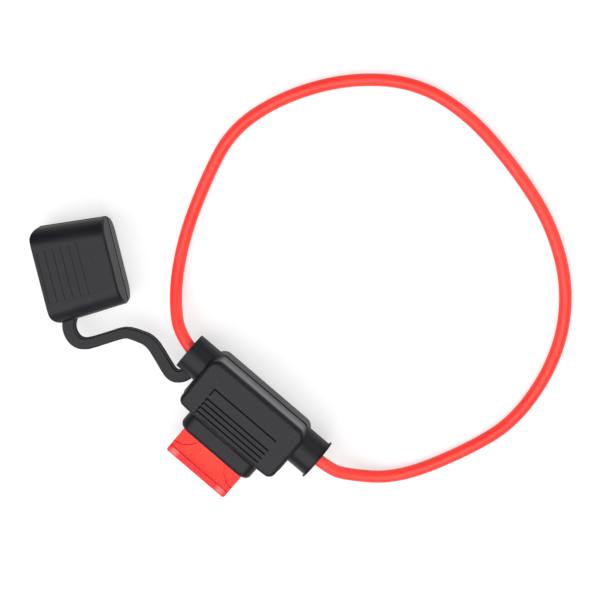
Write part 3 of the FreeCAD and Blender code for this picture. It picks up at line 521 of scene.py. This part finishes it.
def make_lead():
    line = bpy.data.curves.new("lead", "CURVE")
    line.dimensions = "3D"
    line.resolution_u = 12
    line.bevel_depth = LEAD_DIAMETER / 2 * MM
    line.bevel_resolution = 7
    line.use_fill_caps = True
    spline = line.splines.new("NURBS")
    spline.points.add(len(LEAD_ROUTE) - 1)
    for point, place in zip(spline.points, LEAD_ROUTE):
        point.co = (*at(*place), 1.0)
    spline.order_u = 3
    spline.use_endpoint_u = True
    line.materials.append(red_insulation)
    lead = bpy.data.objects.new("lead", line)
    bpy.context.collection.objects.link(lead)
    return lead


lead = make_lead()
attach(lead, "holder")
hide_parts("wire")
print("lead of", len(LEAD_ROUTE), "points")

# %% [markdown]
# The strap is a flat moulded band. Its section is drawn once: soft corners, and a thin raised seam
# half way up each side where the two halves of the mould met. The section is swept along a smooth line
# through the places the band passes, and the result is made a mesh.

# %% The strap
STRAP_WIDTH = 2.85
STRAP_HEIGHT = 2.5
STRAP_LEVEL = 6.0
STRAP_SHARP = math.radians(34)
# Each point is x, y and how many times STRAP_WIDTH and STRAP_HEIGHT the band measures there.
STRAP_LINE = [
    (-17.7, -3.9, 1.05), (-18.35, -6.0, 1.1), (-19.1, -7.0, 1.15), (-20.1, -7.65, 1.18),
    (-21.3, -7.78, 1.18), (-22.8, -7.4, 1.18), (-25.1, -6.6, 1.16), (-27.3, -5.85, 1.16),
    (-29.4, -5.28, 1.14), (-31.4, -5.26, 1.12), (-33.2, -5.8, 1.08), (-35.0, -6.5, 1.06),
    (-36.3, -7.2, 1.02), (-37.3, -8.2, 0.98), (-38.6, -10.2, 0.96), (-40.4, -13.1, 0.97),
    (-41.8, -15.3, 1.0), (-43.0, -16.7, 1.06), (-44.6, -17.55, 1.12), (-46.4, -17.5, 1.15),
    (-47.9, -16.85, 1.16), (-49.1, -15.8, 1.18), (-50.0, -14.2, 1.18), (-50.6, -12.6, 1.18),
]


def strap_section():
    """The band's section, from one quarter of it: soft corners, and a seam half way up each side."""
    w = STRAP_WIDTH / 2
    h = STRAP_HEIGHT / 2
    quarter = [(w - 0.3, h), (w - 0.08, h - 0.22), (w, 0.14), (w, 0.1), (w + 0.1, 0.06)]
    right = quarter + [(x, -y) for x, y in reversed(quarter)]
    return right + [(-x, -y) for x, y in right]


def make_strap():
    outline = bpy.data.curves.new("strap_section", "CURVE")
    outline.dimensions = "2D"
    ring = outline.splines.new("POLY")
    points = strap_section()
    ring.points.add(len(points) - 1)
    for point, (x, y) in zip(ring.points, points):
        point.co = (x * MM, y * MM, 0.0, 1.0)
    ring.use_cyclic_u = True
    section = bpy.data.objects.new("strap_section", outline)
    bpy.context.collection.objects.link(section)

    line = bpy.data.curves.new("strap_line", "CURVE")
    line.dimensions = "3D"
    line.twist_mode = "Z_UP"
    line.resolution_u = 6
    line.bevel_mode = "OBJECT"
    line.bevel_object = section
    line.use_fill_caps = True
    spline = line.splines.new("BEZIER")
    spline.bezier_points.add(len(STRAP_LINE) - 1)
    for point, (x, y, times) in zip(spline.bezier_points, STRAP_LINE):
        point.co = at(x, y, STRAP_LEVEL)
        point.radius = times
        point.handle_left_type = "AUTO"
        point.handle_right_type = "AUTO"
    carrier = bpy.data.objects.new("strap_line", line)
    bpy.context.collection.objects.link(carrier)
    bpy.context.view_layer.update()

    mesh = bpy.data.meshes.new_from_object(carrier.evaluated_get(bpy.context.evaluated_depsgraph_get()))
    mesh.name = "strap"
    bpy.data.objects.remove(carrier)
    bpy.data.objects.remove(section)
    shape = bmesh.new()
    shape.from_mesh(mesh)
    bmesh.ops.remove_doubles(shape, verts=shape.verts, dist=MERGE)
    bmesh.ops.recalc_face_normals(shape, faces=shape.faces)
    for face in shape.faces:
        face.smooth = True
    shape.to_mesh(mesh)
    shape.free()
    mesh.set_sharp_from_angle(angle=STRAP_SHARP)
    mesh.materials.clear()
    mesh.materials.append(black_moulding)
    strap = bpy.data.objects.new("strap", mesh)
    bpy.context.collection.objects.link(strap)
    return strap


strap = make_strap()
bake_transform(strap)
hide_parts("cap_strap")
print("strap faces", len(strap.data.polygons))

# %% [markdown]
# The stage is a white table, wide enough that its edge stays out of views down to 15 degrees, where its
# far part greys a little. It takes the light as a pale matt surface does. What the camera, shiny
# surfaces and clear ones see of it is lifted more than half way to white, so that shadows stay pale.

# %% The table
TABLE_RADIUS = 3.0
TABLE_LIFT = 0.6


def make_table():
    finish = Finish("white_table")
    where = finish.place()
    grain = finish.noise(where, 0.02, detail=2.0)
    path = finish.tree.nodes.new("ShaderNodeLightPath")
    seen = Flow(finish, path.outputs["Is Camera Ray"]) + Flow(finish, path.outputs["Is Glossy Ray"])
    seen = (seen + Flow(finish, path.outputs["Is Transmission Ray"])).clipped()
    matt = finish.node("ShaderNodeBsdfDiffuse", None, {
        "Color": finish.blend(grain, rgb(244, 243, 245), rgb(248, 247, 248))})
    glow = finish.node("ShaderNodeEmission", None, {"Color": (1.0, 1.0, 1.0, 1.0), "Strength": 1.0})
    both = finish.node("ShaderNodeMixShader", None, {0: seen * TABLE_LIFT, 1: matt, 2: glow})
    finish.tree.links.new(both.socket, finish.output.inputs["Surface"])
    shape = bmesh.new()
    bmesh.ops.create_circle(shape, cap_ends=True, segments=96, radius=TABLE_RADIUS)
    mesh = bpy.data.meshes.new("table")
    shape.to_mesh(mesh)
    shape.free()
    mesh.materials.append(finish.material)
    table = bpy.data.objects.new("table", mesh)
    bpy.context.collection.objects.link(table)
    return table


table = make_table()

# %% [markdown]
# The light is a large soft lamp overhead, on the fuse's side. A weaker long lamp stands on the far side,
# where the lead's loop is, and a thin one stands low behind it for the rims. A pale room is all round. The
# gap between the lamps is meant to leave a dark band along the moulding's rounded back edge.

# %% Lamps and room
ROOM_LIGHT = 0.12


def add_lamp(name, eye, spot, size, power):
    """A soft rectangle of light, in metres and watts."""
    light = bpy.data.lights.new(name, "AREA")
    light.shape = "RECTANGLE"
    light.size = size[0]
    light.size_y = size[1]
    light.energy = power
    lamp = bpy.data.objects.new(name, light)
    lamp.matrix_world = look_from(Vector(eye), Vector(spot), IMAGE_RIGHT)
    bpy.context.collection.objects.link(lamp)
    return lamp


add_lamp("overhead", (0.10, -0.42, 1.05), (0.0, -0.05, 0.0), (1.9, 1.3), 25.5)
add_lamp("far_side", (0.3, 0.62, 0.95), (0.0, 0.03, 0.0), (1.6, 0.3), 1.8)
add_lamp("low_rim", (0.45, 1.05, 0.34), (0.0, 0.0, 0.0), (2.0, 0.25), 5.0)

room = bpy.data.worlds.new("room")
room.use_nodes = True
backdrop = room.node_tree.nodes["Background"]
backdrop.inputs["Color"].default_value = (0.96, 0.97, 1.0, 1.0)
backdrop.inputs["Strength"].default_value = ROOM_LIGHT
bpy.context.scene.world = room
bpy.context.scene.view_settings.view_transform = "Standard"
